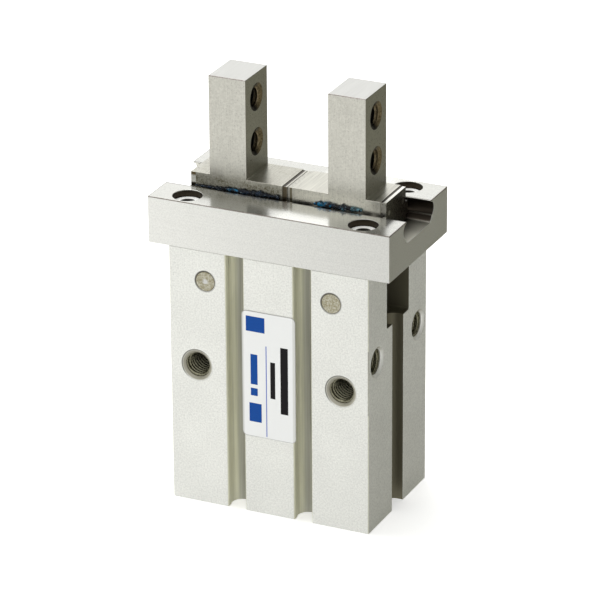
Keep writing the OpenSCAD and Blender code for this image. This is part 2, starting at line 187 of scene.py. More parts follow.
class Shader(Graph):
    """A material with one Principled shader. Its coordinates are the object's own, in millimetres."""

    def __init__(self, name, base, metallic, rough):
        self.mat = bpy.data.materials.new(name)
        self.mat.use_nodes = True
        super().__init__(self.mat.node_tree)
        self.bsdf = self.tree.nodes["Principled BSDF"]
        self.put("Base Color", base)
        self.put("Metallic", metallic)
        self.put("Roughness", rough)
        self.coords = self.add("ShaderNodeTexCoord")
        self.point = self.stretched((1, 1, 1))
        split = self.add("ShaderNodeSeparateXYZ")
        self.link(self.point, split.inputs[0])
        self.x, self.y, self.z = split.outputs
        self.height = None

    def put(self, socket, value):
        self.feed(self.bsdf.inputs[socket], value)

    def stretched(self, scale):
        """Millimetre coordinates, scaled again along each axis."""
        node = self.add("ShaderNodeMapping")
        node.inputs["Scale"].default_value = mm(scale)
        self.link(self.coords.outputs["Object"], node.inputs["Vector"])
        return node.outputs[0]

    def noise(self, scale, detail=2, vector=None, rough=0.5):
        node = self.add("ShaderNodeTexNoise")
        node.inputs["Scale"].default_value = scale
        node.inputs["Detail"].default_value = detail
        node.inputs["Roughness"].default_value = rough
        self.link(vector or self.point, node.inputs["Vector"])
        return node.outputs["Fac"]

    def cells(self, scale):
        node = self.add("ShaderNodeTexVoronoi")
        node.inputs["Scale"].default_value = scale
        self.link(self.point, node.inputs["Vector"])
        return node.outputs["Distance"]

    def facing(self, axis, sign=1):
        """1 where the surface looks along +axis or -axis of the object, 0 elsewhere."""
        split = self.add("ShaderNodeSeparateXYZ")
        self.link(self.coords.outputs["Normal"], split.inputs[0])
        return self.spread(split.outputs[axis], sign * 0.8, sign * 0.95)

    def facing_front(self):
        return self.facing(1, -1)

    def facing_up(self):
        return self.facing(2)

    def inside(self, lo, hi):
        """How far a point lies inside a box, whose corners are in metres: 0 on the box's faces."""
        nearest = None
        for place, low, high in zip((self.x, self.y, self.z), mm(lo), mm(hi)):
            for wall in (self.minus(place, low), self.minus(high, place)):
                nearest = wall if nearest is None else self.math("MINIMUM", nearest, wall)
        return nearest

    def off_axis(self, u, v, a, b):
        """Distance to an axis through (a, b), where u and v are the coordinates across it."""
        du, dv = self.minus(u, a), self.minus(v, b)
        return self.math("SQRT", self.plus(self.times(du, du), self.times(dv, dv)))

    def beside(self, value, place):
        """How far a value lies above the nearer of two mirrored places, place and -place."""
        return self.minus(value, self.times(self.math("SIGN", value), place))

    def edge(self, walls, below_top, reach=0.12):
        """1 in a thin line where a top face meets its side faces. walls are the distances to those."""
        side = walls[0]
        for wall in walls[1:]:
            side = self.math("MINIMUM", side, wall)
        return self.spread(self.math("MAXIMUM", side, below_top), reach + 0.07, reach)

    def inside_post(self):
        """How far a point lies inside a finger post, from the two faces that the tapped holes run between."""
        return self.minus(POST_T / 2, self.size_of(self.minus(self.size_of(self.x), POST_X)))

    def bump(self, height, distance):
        """Adds a bump whose height runs from 0 to 1, distance millimetres deep."""
        node = self.add("ShaderNodeBump")
        node.inputs["Distance"].default_value = distance * MM
        self.link(height, node.inputs["Height"])
        if self.height is not None:
            self.link(self.height, node.inputs["Normal"])
        self.height = node.outputs[0]
        self.put("Normal", self.height)


# ---- Body ----


def body_grooves(s, inward):
    """Drawn streaks along the sensor grooves, with painted shade: darker towards their floor and towards the
    right.
    """
    streaks = s.noise(1.0, 2, s.stretched((2.5, 2.5, 0.05)))
    tone = s.mix(s.spread(streaks, 0.35, 0.65), tint(GROOVE_TONE, 0.9), tint(GROOVE_TONE, 1.1))
    tone = s.dimmed(tone, s.spread(inward, 3.2, 4.0, 1.1, 0.42))
    return s.dimmed(tone, s.spread(s.x, -6.0, 6.0, 1.0, 0.94))


def body_holes(s, inward, depth, front_lit):
    """Countersunk mouths and walls of taps and ports, in painted light and shade: dark walls, lighter on the
    lower right of each hole, and a painted highlight on the lower right of each port's mouth.
    """
    port_lit = s.spread(s.minus(s.beside(s.y, PORT_Y), s.minus(s.z, PORT_Z)), -2.2, 2.2)
    near_side = s.spread(s.size_of(s.x), BODY_X - 5.0, BODY_X - 4.6)
    ports = s.both(near_side, s.spread(inward, 0.9, 1.1))
    lit = s.mix(ports, front_lit, port_lit)
    # Painted highlight: near white on the lit side of each port's mouth.
    port_highlight = s.mix(ports, tint(SINK_TONE, 0.85), (0.98, 0.98, 0.95))
    mouths = s.mix(lit, tint(SINK_TONE, 0.62), port_highlight)
    walls = s.mix(lit, tint(HOLE_TONE, 0.2), HOLE_TONE)
    return s.mix(s.spread(depth, 0.5, 0.8), mouths, walls)


def front_ring(s, inward, place, radius, half_width, soft):
    """1 in a thin ring on the front and back, around the mirrored axes at place, an x and a z."""
    off = s.minus(s.off_axis(s.size_of(s.x), s.z, *place), radius)
    return s.both(s.within(off, half_width, soft), s.spread(inward, 0.6, 0.4))


def body_material():
    """Bead-blasted, clear anodised aluminium: fine grain and faint clouds. Its hollows carry painted shade.
    """
    s = Shader("body_blasted", BODY_TONE, 0.6, 0.46)
    clouds = s.noise(0.12, 2)
    grain = s.noise(2.9, 3, rough=0.75)
    mottle = s.spread(s.plus(grain, s.times(clouds, 0.2)), 0.42, 0.78)
    skin = s.mix(mottle, tint(BODY_TONE, 0.86), tint(BODY_TONE, 1.14))
    # Painted light: lighter on the left, and painted shade lower down.
    skin = s.dimmed(skin, s.spread(s.x, -21.0, 21.0, 1.03, 0.98))
    skin = s.dimmed(skin, s.spread(s.z, 8.0, 36.0, 0.96, 1.0))

    depth = s.inside(body_lo, body_hi)
    deep = s.spread(depth, 0.03, 0.12)
    inward = s.minus(BODY_Y, s.size_of(s.y))
    front_lit = s.spread(s.minus(s.beside(s.x, TAP_X), s.minus(s.z, TAP_Z)), -3.0, 3.0)
    hole_zone = s.both(s.within(s.minus(s.z, 31.5), 6.5), s.spread(s.size_of(s.x), 11.3, 11.6))
    hollows = s.mix(hole_zone, body_grooves(s, inward), body_holes(s, inward, depth, front_lit))
    tone = s.mix(deep, skin, hollows)

    # A painted shadow line around each countersink, and a painted shadow ring for the crimped rim around each
    # lever pin, both darker towards the upper left
    ring = front_ring(s, inward, (TAP_X, TAP_Z), TAP_R + 0.72, 0.09, 0.06)
    ring = s.both(ring, s.spread(front_lit, 0.25, 0.7, 0.8, 0.12))
    tone = s.mix(ring, tone, (0.08, 0.073, 0.05))
    crimp_shade = front_ring(s, inward, (PIN_X, PIN_Z), PIN_R + 0.08, 0.13, 0.07)
    across_pin = s.minus(s.beside(s.x, PIN_X), s.minus(s.z, PIN_Z))
    crimp_shade = s.both(crimp_shade, s.spread(across_pin, -1.8, 2.2, 0.85, 0.3))
    tone = s.mix(crimp_shade, tone, (0.06, 0.052, 0.036))

    # Painted shade: dark in the lever cavity at the top, and in the wide groove in each side
    top_or_side = s.either(s.spread(s.z, 37.5, 38.5), s.spread(s.size_of(s.x), 15.0, 16.0))
    middle = s.both(s.within(s.y, 5.3), top_or_side)
    s.put("Base Color", s.mix(s.both(deep, middle), tone, CAVITY_SHADE))
    s.put("Roughness", s.spread(clouds, 0.3, 0.7, 0.45, 0.48))
    s.bump(grain, 0.012)
    s.bump(s.cells(2.6), 0.006)
    return s.mat


# ---- Guide and its screws ----


def guide_material():
    """Satin sides, and a ground top that reflects what stands on it. Channel and counterbores are dark with
    painted shade.
    """
    s = Shader("guide_ground", GUIDE_TONE, 0.9, 0.36)
    lines = s.noise(1.0, 3, s.stretched((0.05, 3.0, 9.0)))
    grain = s.noise(4.0, 2, rough=0.7)
    mottle = s.plus(grain, s.times(lines, 0.35))
    skin = s.mix(s.spread(mottle, 0.45, 0.9), tint(GUIDE_TONE, 0.9), tint(GUIDE_TONE, 1.1))
    # Painted light: the front is lighter on the left and darker on the right.
    skin = s.dimmed(skin, s.spread(s.times(s.x, s.facing_front()), -25.0, 25.0, 1.12, 0.88))

    # The top: painted darker overall, a painted highlight in front of the right finger, a painted shade line
    # along its outer edges, and painted shade along the channel's edge
    top = s.both(s.facing_up(), s.spread(s.z, TOP - 0.2, TOP - 0.1))
    skin = s.dimmed(skin, s.spread(top, 0.0, 1.0, 1.0, 0.84))
    tinted_area = s.both(top, s.both(s.spread(s.x, 0.0, 2.5), s.spread(s.x, 18.0, 13.0)))
    skin = s.dimmed(skin, s.spread(tinted_area, 0.0, 1.0, 1.0, 1.32))
    lo, hi = mm(guide_lo), mm(guide_hi)
    walls = (s.minus(s.y, lo[1]), s.minus(hi[1], s.y), s.minus(hi[0], s.size_of(s.x)))
    rim_shade = s.edge(walls, s.minus(TOP, s.z))
    skin = s.mix(s.both(rim_shade, s.spread(grain, 0.35, 0.6, 1.0, 0.75)), skin, (0.14, 0.115, 0.095))
    gap_shade = s.both(top, s.within(s.y, 6.0))
    skin = s.mix(s.both(gap_shade, s.spread(lines, 0.3, 0.6, 0.95, 0.7)), skin, (0.05, 0.042, 0.034))

    # The channel and counterbores: painted shade, near black on the channel walls and in the middle of its
    # floor, and painted light on the walls at the open left end, which are less metallic there, and on the
    # floor towards both ends
    deep = s.spread(s.inside(guide_lo, guide_hi), 0.03, 0.2)
    channel = s.both(deep, s.within(s.y, 7.3))
    left_end = s.spread(s.x, -18.0, -20.0)
    wall = s.mix(left_end, (0.045, 0.036, 0.028), (0.86, 0.85, 0.78))
    floor = s.mix(s.spread(s.size_of(s.x), 20.0, 25.0), (0.05, 0.045, 0.035), (0.5, 0.49, 0.42))
    tone = s.mix(deep, skin, (0.05, 0.040, 0.028))
    s.put("Base Color", s.mix(channel, tone, s.mix(s.facing_up(), wall, floor)))
    s.put("Metallic", s.spread(s.both(left_end, channel), 0.0, 1.0, 0.9, 0.1))

    satin = s.spread(lines, 0.3, 0.7, 0.36, 0.46)
    ground = s.spread(s.noise(1.0, 3, s.stretched((0.06, 7.0, 1.0))), 0.3, 0.7, 0.15, 0.23)
    s.put("Roughness", s.plus(s.times(ground, top), s.times(satin, s.minus(1.0, top))))
    s.bump(s.times(lines, satin), 0.006)
    return s.mat


def guide_screw_material():
    """Bright turned head, with painted shade near black in its socket and on everything below its top, down
    in the counterbore.
    """
    bright = (0.95, 0.95, 0.93)
    s = Shader("screw_head", bright, 0.25, 0.5)
    below_top = s.spread(s.minus(SCREW_TOP, s.z), 0.16, 0.3)
    socket = s.spread(s.off_axis(s.size_of(s.x), s.size_of(s.y), SCREW_X, SCREW_Y), 1.62, 1.5)
    s.put("Base Color", s.mix(s.either(below_top, socket), bright, (0.022, 0.018, 0.014)))
    s.put("Roughness", s.spread(s.noise(1.2, 2), 0.3, 0.7, 0.45, 0.55))
    return s.mat


# ---- Fingers, stoppers and lever pins ----


def finger_material():
    """Ground steel with faint lines up the posts. The tapped holes are brown near the mouth on one side, with
    painted shade near black elsewhere in them.
    """
    s = Shader("finger_ground", STEEL_TONE, 1.0, 0.3)
    lines = s.noise(1.0, 3, s.stretched((6.0, 6.0, 0.25)))
    grain = s.noise(2.8, 3, rough=0.75)
    speck = s.noise(3.2, 3, rough=0.8)
    drawn = s.noise(1.0, 3, s.stretched((4.0, 0.15, 4.0)))
    upright = s.plus(s.times(lines, 0.4), s.plus(grain, 0.3))
    level = s.plus(drawn, s.spread(s.z, 65.0, 84.0, 0.5, 0.6))
    texture = s.mix(s.facing_up(), upright, level)
    skin = s.mix(s.spread(texture, 0.75, 1.25), tint(STEEL_TONE, 0.8), tint(STEEL_TONE, 1.18))
    crown = s.mix(s.spread(drawn, 0.3, 0.7), (0.54, 0.54, 0.52), (0.60, 0.60, 0.585))
    skin = s.mix(s.spread(s.z, FINGER_TOP - 0.2, FINGER_TOP - 0.05), skin, crown)

    # The base: stained and oily on the left finger, bright in front on the right one
    base = s.spread(s.z, TOP + 3.4, TOP + 1.6)
    dirty = s.both(base, s.spread(s.x, 1.5, -1.5))
    stain = s.mix(s.spread(speck, 0.42, 0.62), (0.16, 0.145, 0.095), (0.52, 0.51, 0.44))
    patches = s.spread(s.noise(0.9, 4), 0.4, 0.6, 0.6, 0.95)
    tone = s.mix(s.both(dirty, patches), skin, stain)
    # Painted shade: darker towards the foot of the posts.
    tone = s.dimmed(tone, s.spread(s.z, 64.0, 74.0, 0.94, 1.0))
    # The right base's front face is made brighter.
    bright_front = s.both(s.both(base, s.facing_front()), s.spread(s.x, 0.0, 2.0))
    tone = s.dimmed(tone, s.spread(bright_front, 0.0, 1.0, 1.0, 1.34))
    # Painted shade: a dark line along the front and back top edges.
    rim_shade = s.edge((s.minus(FINGER_Y, s.size_of(s.y)),), s.minus(FINGER_TOP, s.z), 0.1)
    tone = s.mix(s.both(rim_shade, s.spread(grain, 0.35, 0.6, 1.0, 0.5)), tone, (0.22, 0.17, 0.15))

    # The tapped holes: brown near the mouth on their +y side, painted shade near black deeper in and on their
    # -y side
    from_axis = s.off_axis(s.y, s.size_of(s.minus(s.z, JAW_Z)), 0.0, JAW_PITCH / 2)
    bored = s.spread(from_axis, JAW_R + 0.8, JAW_R + 0.7)
    lit = s.both(s.spread(s.inside_post(), 1.15, 0.5), s.spread(s.y, 0.0, 1.6))
    brown = s.mix(s.spread(speck, 0.4, 0.62), (0.12, 0.09, 0.045), (0.36, 0.29, 0.17))
    s.put("Base Color", s.mix(bored, tone, s.mix(lit, (0.012, 0.01, 0.007), brown)))
    s.put("Metallic", s.spread(bored, 0.0, 1.0, 1.0, 0.7))
    s.put("Specular IOR Level", s.spread(bored, 0.0, 1.0, 0.5, 0.15))
    s.put("Roughness", s.spread(texture, 0.7, 1.3, 0.25, 0.36))
    s.bump(texture, 0.004)
    s.bump(s.times(speck, dirty), 0.05)
    return s.mat


def finger_thread_material():
    """Brown thread, with painted shade near black deep in the hole and along its front."""
    s = Shader("thread_steel", (0.26, 0.215, 0.13), 0.6, 0.3)
    s.put("Specular IOR Level", 0.2)
    spots = s.noise(2.0, 3)
    brown = s.mix(s.spread(spots, 0.35, 0.65), (0.20, 0.155, 0.085), (0.46, 0.38, 0.24))
    lit = s.both(s.spread(s.inside_post(), 1.3, 0.7), s.spread(s.y, 0.2, 1.4))
    s.put("Base Color", s.mix(lit, (0.014, 0.012, 0.008), brown))
    s.bump(spots, 0.02)
    return s.mat


def stopper_material():
    """Thin plate: plain edges, oily end faces, and brown where the two fingers meet."""
    s = Shader("stopper_plate", STOPPER_TONE, 1.0, 0.32)
    spots = s.noise(2.4, 4)
    skin = s.mix(s.spread(spots, 0.35, 0.65), tint(STOPPER_TONE, 0.85), tint(STOPPER_TONE, 1.15))
    crumbs = s.spread(s.noise(4.0, 3, rough=0.8), 0.4, 0.62)
    oily = s.mix(crumbs, (0.05, 0.045, 0.035), (0.27, 0.26, 0.22))
    tone = s.mix(s.either(s.facing(0), s.facing(0, -1)), skin, oily)
    meeting = s.both(s.within(s.plus(s.x, 0.58), 0.42, 0.1), s.facing_front())
    tone = s.mix(meeting, tone, (0.15, 0.125, 0.085))
    line = s.both(s.within(s.minus(s.x, 0.7), 0.16, 0.06), s.facing_front())
    tone = s.mix(line, tone, (0.2, 0.18, 0.12))
    bright_plate = s.both(s.spread(s.x, 19.4, 19.5), s.facing_up())
    tone = s.mix(bright_plate, tone, (0.86, 0.855, 0.8))

    # The worn end of the left outer plate: brown above, pale in the middle, and painted shade near black at
    # its foot
    tinted_area = s.both(s.facing_front(), s.spread(s.x, -19.1, -19.2))
    brown = s.spread(s.plus(s.z, s.times(spots, 0.5)), TOP + 1.9, TOP + 2.25)
    end = s.mix(brown, (0.8, 0.8, 0.77), (0.17, 0.13, 0.075))
    foot = s.spread(s.z, TOP + 0.55, TOP + 0.25)
    tone = s.mix(tinted_area, tone, s.mix(foot, end, (0.03, 0.026, 0.02)))

    # Dark seams seen from above: between the inner plates, and beside the right outer one
    seams = s.either(s.within(s.plus(s.x, 0.74), 0.25, 0.06), s.within(s.minus(s.x, 19.42), 0.2, 0.06))
    s.put("Base Color", s.mix(s.both(seams, s.facing_up()), tone, (0.035, 0.026, 0.018)))
    s.put("Roughness", s.spread(spots, 0.3, 0.7, 0.24, 0.4))
    s.bump(spots, 0.01)
    return s.mat


def lever_pin_material():
    """Worn pin ends: yellow-brown mottling, a painted shade line around the edge, and a grey mark on the left
    one.
    """
    s = Shader("pin_end_steel", (0.46, 0.44, 0.35), 0.85, 0.38)
    spots = s.noise(3.0, 3, rough=0.75)
    tone = s.mix(s.spread(spots, 0.4, 0.62), (0.31, 0.28, 0.18), (0.56, 0.54, 0.44))
    mark = s.spread(s.off_axis(s.x, s.z, -PIN_X, PIN_Z), 0.7, 0.35)
    tone = s.mix(s.both(mark, s.spread(spots, 0.35, 0.5, 0.4, 1.0)), tone, (0.66, 0.66, 0.64))
    rim_shade = s.spread(s.off_axis(s.size_of(s.x), s.z, PIN_X, PIN_Z), PIN_R - 0.12, PIN_R - 0.02)
    s.put("Base Color", s.mix(rim_shade, tone, (0.12, 0.105, 0.07)))
    s.put("Roughness", s.spread(spots, 0.3, 0.7, 0.34, 0.44))
    s.bump(spots, 0.05)
    return s.mat


# ---- Label, grease and the plain materials ----


def label_material():
    """White film with a painted shadow line along its cut edge, and painted shade where it hangs over a
    groove, as if seen through the film.
    """
    s = Shader("label_film", FILM_TONE, 0.0, 0.35)
    lo, hi = mm(label_lo), mm(label_hi)
    corner = 1.0
    beyond = []
    for place, a, b in ((s.x, lo[0], hi[0]), (s.z, lo[2], hi[2])):
        off = s.size_of(s.minus(place, (a + b) / 2))
        over = s.math("MAXIMUM", s.minus(off, (b - a) / 2 - corner), 0.0)
        beyond.append(s.times(over, over))
    edge_shadow = s.spread(s.math("SQRT", s.plus(*beyond)), corner - 0.16, corner - 0.06)
    over_groove = s.spread(s.size_of(s.x), 5.0, 5.25)
    tone = s.mix(over_groove, FILM_TONE, (0.60, 0.605, 0.58))
    s.put("Base Color", s.mix(edge_shadow, tone, (0.42, 0.42, 0.41)))
    s.put("Roughness", s.spread(s.noise(0.6, 2), 0.3, 0.7, 0.33, 0.38))
    return s.mat


def grease_material(name, base):
    """Tacky paste: nearly black, with patches of its own colour and pale crumbs."""
    s = Shader(name, base, 0.0, 0.42)
    blobs = s.noise(1.1, 3)
    crumbs = s.noise(3.6, 2, rough=0.7)
    tone = s.mix(s.spread(blobs, 0.46, 0.6), (0.004, 0.006, 0.01), base)
    s.put("Base Color", s.mix(s.spread(crumbs, 0.65, 0.69), tone, (0.28, 0.36, 0.40)))
    s.put("Roughness", s.spread(crumbs, 0.3, 0.7, 0.5, 0.3))
    s.put("Specular IOR Level", 0.2)
    s.put("Coat Weight", 0.12)
    s.put("Coat Roughness", 0.08)
    s.bump(crumbs, 0.12)
    return s.mat


def plain(name, base, metallic, rough, grain=3.0, depth=0.004, contrast=0.08, gloss=0.5):
    """Any other solid surface: a little mottling in its colour, its roughness and its height."""
    s = Shader(name, base, metallic, rough)
    spots = s.noise(grain, 3)
    mottle = s.spread(spots, 0.35, 0.65)
    s.put("Base Color", s.mix(mottle, tint(base, 1 - contrast), tint(base, 1 + contrast)))
    s.put("Roughness", s.spread(spots, 0.3, 0.7, max(0.02, rough - 0.05), min(1.0, rough + 0.06)))
    s.put("Specular IOR Level", gloss)
    s.bump(spots, depth)
    return s.mat


def ink(name, base):
    return plain(name, base, 0.0, 0.5, grain=6.0, depth=0.001, contrast=0.05, gloss=0.15)


body_mat = body_material()
guide_mat = guide_material()
guide_screw_mat = guide_screw_material()
finger_mat = finger_material()
finger_thread_mat = finger_thread_material()
# Threads in the body's holes: a dark olive, partly the tint of bare metal and partly painted shade inside the
# holes.
body_thread_mat = plain("thread_aluminium", (0.27, 0.26, 0.185), 0.9, 0.28, grain=2.0, contrast=0.25)
stopper_mat = stopper_material()
lever_pin_mat = lever_pin_material()
label_mat = label_material()
screw_mat = plain("screw_steel", (0.66, 0.655, 0.62), 1.0, 0.28, grain=2.2)
small_pin_mat = plain("small_pin_steel", (0.55, 0.54, 0.5), 1.0, 0.3)
ball_mat = plain("ball_steel", (0.15, 0.145, 0.135), 0.6, 0.38, grain=1.0, contrast=0.12, depth=0.0005)
lever_mat = plain("hardened_steel", (0.3, 0.29, 0.265), 1.0, 0.4, grain=1.4, contrast=0.15, depth=0.01)
rod_mat = plain("hard_chrome", (0.7, 0.7, 0.71), 1.0, 0.12, grain=0.8, contrast=0.03, depth=0.001)
piston_mat = plain("turned_aluminium", (0.66, 0.68, 0.7), 1.0, 0.3)
cap_mat = plain("cap_aluminium", (0.6, 0.61, 0.6), 0.95, 0.36, grain=1.5)
rubber_mat = plain("nitrile_rubber", (0.02, 0.02, 0.02), 0.0, 0.55, contrast=0.3)
wear_mat = plain("filled_plastic", (0.12, 0.06, 0.035), 0.0, 0.5, contrast=0.25)
magnet_mat = plain("magnetic_rubber", (0.025, 0.025, 0.03), 0.0, 0.6, contrast=0.25)
urethane_mat = plain("urethane", (0.55, 0.32, 0.08), 0.0, 0.4, contrast=0.12)
ring_mat = plain("phosphated_steel", (0.07, 0.067, 0.062), 0.8, 0.5, grain=2.5, contrast=0.3)

LOOKS = {
    "body": body_mat, "guide": guide_mat, "guide_screws": guide_screw_mat, "label": label_mat,
    "left_finger": finger_mat, "right_finger": finger_mat,
    "left_inner_stopper": stopper_mat, "left_outer_stopper": stopper_mat,
    "right_inner_stopper": stopper_mat, "right_outer_stopper": stopper_mat,
    "left_stopper_pins": small_pin_mat, "right_stopper_pins": small_pin_mat,
    "left_guide_balls": ball_mat, "right_guide_balls": ball_mat,
    "left_lever": lever_mat, "right_lever": lever_mat,
    "left_lever_pin": lever_pin_mat, "right_lever_pin": lever_pin_mat,
    "joint": lever_mat, "joint_screw": screw_mat, "piston_rod": rod_mat, "piston": piston_mat,
    "piston_bolt": screw_mat, "piston_seal": rubber_mat, "wear_ring": wear_mat, "magnet": magnet_mat,
    "upper_bumper": urethane_mat, "rod_seal": rubber_mat, "lower_bumper": urethane_mat,
    "end_cap": cap_mat, "cap_seal": rubber_mat, "retaining_ring": ring_mat, "passage_plug": small_pin_mat,
}
for name, look in LOOKS.items():
    materials = nodes[name].data.materials
    for i in range(len(materials)):
        materials[i] = look


# ---- Broken edges of the machined pieces ----

# Bevel widths in millimetres
BEVELS = {
    "body": 0.10, "guide": 0.07, "left_finger": 0.07, "right_finger": 0.07,
    "left_inner_stopper": 0.04, "left_outer_stopper": 0.04, "right_inner_stopper": 0.04,
    "right_outer_stopper": 0.04, "guide_screws": 0.12, "left_lever_pin": 0.12, "right_lever_pin": 0.12,
    "end_cap": 0.08, "retaining_ring": 0.08, "left_lever": 0.1, "right_lever": 0.1, "joint": 0.1,
    "label": 0.02,
}
FLAT_ANGLE = math.radians(1.0)
SHARP_ANGLE = math.radians(32)


def break_edges(node, width):
    """Bevels the sharp edges, after joining flat faces, so that no thin triangle folds over."""
    weld = node.modifiers.new("weld", "WELD")
    weld.merge_threshold = 1e-7
    flat = node.modifiers.new("flat", "DECIMATE")
    flat.decimate_type = "DISSOLVE"
    flat.angle_limit = FLAT_ANGLE
    bevel = node.modifiers.new("edges", "BEVEL")
    bevel.width = width * MM
    bevel.segments = 2
    bevel.limit_method = "ANGLE"
    bevel.angle_limit = SHARP_ANGLE
    bevel.use_clamp_overlap = False
    bevel.loop_slide = False
    normals = node.modifiers.new("normals", "WEIGHTED_NORMAL")
    normals.keep_sharp = False
    triangles = node.modifiers.new("triangles", "TRIANGULATE")
    triangles.min_vertices = 5


for name, width in BEVELS.items():
    break_edges(nodes[name], width)


# ---- Pieces ----


def piece(name, verts, faces, mat, body, smooth=True):
    """One new mesh, which rides on a body of the frame."""
    mesh = bpy.data.meshes.new(name)
    mesh.from_pydata([tuple(v) for v in verts], [], faces)
    bm = bmesh.new()
    bm.from_mesh(mesh)
    bmesh.ops.recalc_face_normals(bm, faces=bm.faces)
    bm.to_mesh(mesh)
    bm.free()
    for polygon in mesh.polygons:
        polygon.use_smooth = smooth
    mesh.materials.append(mat)
    made = bpy.data.objects.new(name, mesh)
    scene.collection.objects.link(made)
    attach(made, body)


# ---- Threads in the tapped holes ----

# Pitch in millimetres for each nominal diameter
PITCH = {5: 0.8, 4: 0.7}
STEPS = 28
LEAD_IN = 0.55
RIDGE = 0.54
BODY_THREAD_DEPTH = 9.6
PORT_THREAD_DEPTH = 4.8
FINGER_THREAD_DEPTH = 7.2


def axes_of(direction):
    """Two unit vectors across a direction that lies along a frame axis, and the direction itself."""
    w = Vector(direction).normalized()
    u = Vector((0, 0, 1)) if abs(w.z) < 0.5 else Vector((1, 0, 0))
    return u, w.cross(u), w


def thread(verts, faces, mouth, outward, radius, depth, pitch):
    """Adds one internal thread: a ridge that winds into the hole, on the wall of its nominal diameter."""
    u, v, w = axes_of(outward)
    crest = radius - RIDGE * pitch * MM
    root = radius + 0.05 * MM
    turns = (depth - LEAD_IN * MM) / (pitch * MM)
    count = int(turns * STEPS)
    start = len(verts)
    for i in range(count + 1):
        angle = 2 * math.pi * i / STEPS
        fade = min(1.0, i / (0.5 * STEPS), (count - i) / (0.5 * STEPS))
        at = mouth - w * (LEAD_IN * MM + pitch * MM * i / STEPS)
        out = u * math.cos(angle) + v * math.sin(angle)
        tip = radius + (crest - radius) * fade
        for r, shift in ((root, -0.46), (tip, -0.12), (tip, 0.12), (root, 0.46)):
            verts.append(at + out * r + w * (shift * pitch * MM * (0.35 + 0.65 * fade)))
    for i in range(count):
        a, b = start + 4 * i, start + 4 * (i + 1)
        for k in range(4):
            n = (k + 1) % 4
            faces.append((a + k, a + n, b + n, b + k))
    faces.append(tuple(start + k for k in range(4)))
    end = start + 4 * count
    faces.append(tuple(end + 3 - k for k in range(4)))


def hole_centres(mount):
    """The hole centres of a mount, in its plane."""
    centre, dims = Vector(mount["pos_m"]), mount["dims"]
    units = zip(((1, 0, 0), (0, 1, 0), (0, 0, 1)), mount["axis"])
    across = [Vector(unit) for unit, along in units if abs(along) < 0.5]
    xs, ys = (
        [-dims[key] / 2, dims[key] / 2] if key in dims else [0]
        for key in ("spacing_x_mm", "spacing_y_mm")
    )
    return [centre + across[0] * x * MM + across[1] * y * MM for x in xs for y in ys]


def threads(name, mount_name, depth, body, mat):
    """One piece with the threads in a mount's holes. That of a threaded_hole starts at the body's face."""
    mount = mounts[mount_name]
    radius = mount["dims"].get("hole_r_mm", mount["dims"].get("r_mm"))
    axis = Vector(mount["axis"])
    verts, faces = [], []
    for mouth in hole_centres(mount):
        if mount["kind"] == "threaded_hole":
            outside = body_hi if sum(axis) > 0 else body_lo
            mouth = Vector(outside[i] if abs(axis[i]) > 0.5 else mouth[i] for i in range(3))
        thread(verts, faces, mouth, axis, radius * MM, depth * MM, PITCH[round(2 * radius)])
    piece(name, verts, faces, mat, body)


for hole in ("front_left", "front_right", "back_left", "back_right"):
    threads(hole + "_thread", hole + "_hole", BODY_THREAD_DEPTH, "housing", body_thread_mat)
threads("bottom_threads", "bottom_holes", BODY_THREAD_DEPTH, "housing", body_thread_mat)
for port in ("closing_port", "opening_port"):
    threads(port + "_thread", port, PORT_THREAD_DEPTH, "housing", body_thread_mat)
for side in ("right", "left"):
    threads(side + "_finger_threads", side + "_finger_holes", FINGER_THREAD_DEPTH, side + "_jaw",
            finger_thread_mat)


# ---- Print on the label ----

LABEL_W = label_hi.x - label_lo.x
LABEL_H = label_hi.z - label_lo.z
PRINT_T = 0.012 * MM


def printed(name, outlines, mat):
    """Thin ink shapes on the label. Each outline is in shares of the label's width and height."""
    verts, faces = [], []
    for outline in outlines:
        n = len(outline)
        start = len(verts)
        for depth in (0.5 * PRINT_T, -PRINT_T):
            for x, z in outline:
                verts.append((label_lo.x + x * LABEL_W, label_lo.y + depth, label_lo.z + z * LABEL_H))
        faces.append(tuple(start + i for i in range(n)))
        faces.append(tuple(start + n + i for i in reversed(range(n))))
        for i in range(n):
            k = (i + 1) % n
            faces.append((start + i, start + k, start + n + k, start + n + i))
    piece(name, verts, faces, mat, "housing", smooth=False)


def bar(x0, x1, z0, z1):
    return [(x0, z0), (x1, z0), (x1, z1), (x0, z1)]


printed("label_bars", [
    bar(0.08, 0.43, 0.84, 0.96),
    bar(0.16, 0.29, 0.42, 0.66),
    bar(0.16, 0.29, 0.33, 0.39),
    bar(0.13, 0.36, 0.12, 0.27),
], ink("blue_print", (0.001, 0.058, 0.29)))
printed("label_line", [
    bar(0.445, 0.463, 0.015, 0.74),
], ink("pale_blue_print", (0.13, 0.18, 0.5)))
printed("label_blocks", [
    bar(0.53, 0.62, 0.33, 0.62),
    bar(0.72, 0.86, 0.22, 0.75),
], ink("dark_print", (0.006, 0.005, 0.006)))


# ---- Grease along the fingers' running edges ----

SIDES = 14
RINGS_PER_MM = 9
SQUEEZE = 0.75

navy_grease = grease_material("navy_grease", (0.007, 0.018, 0.038))
teal_grease = grease_material("teal_grease", (0.002, 0.14, 0.29))
pale_grease = grease_material("pale_grease", (0.12, 0.27, 0.33))


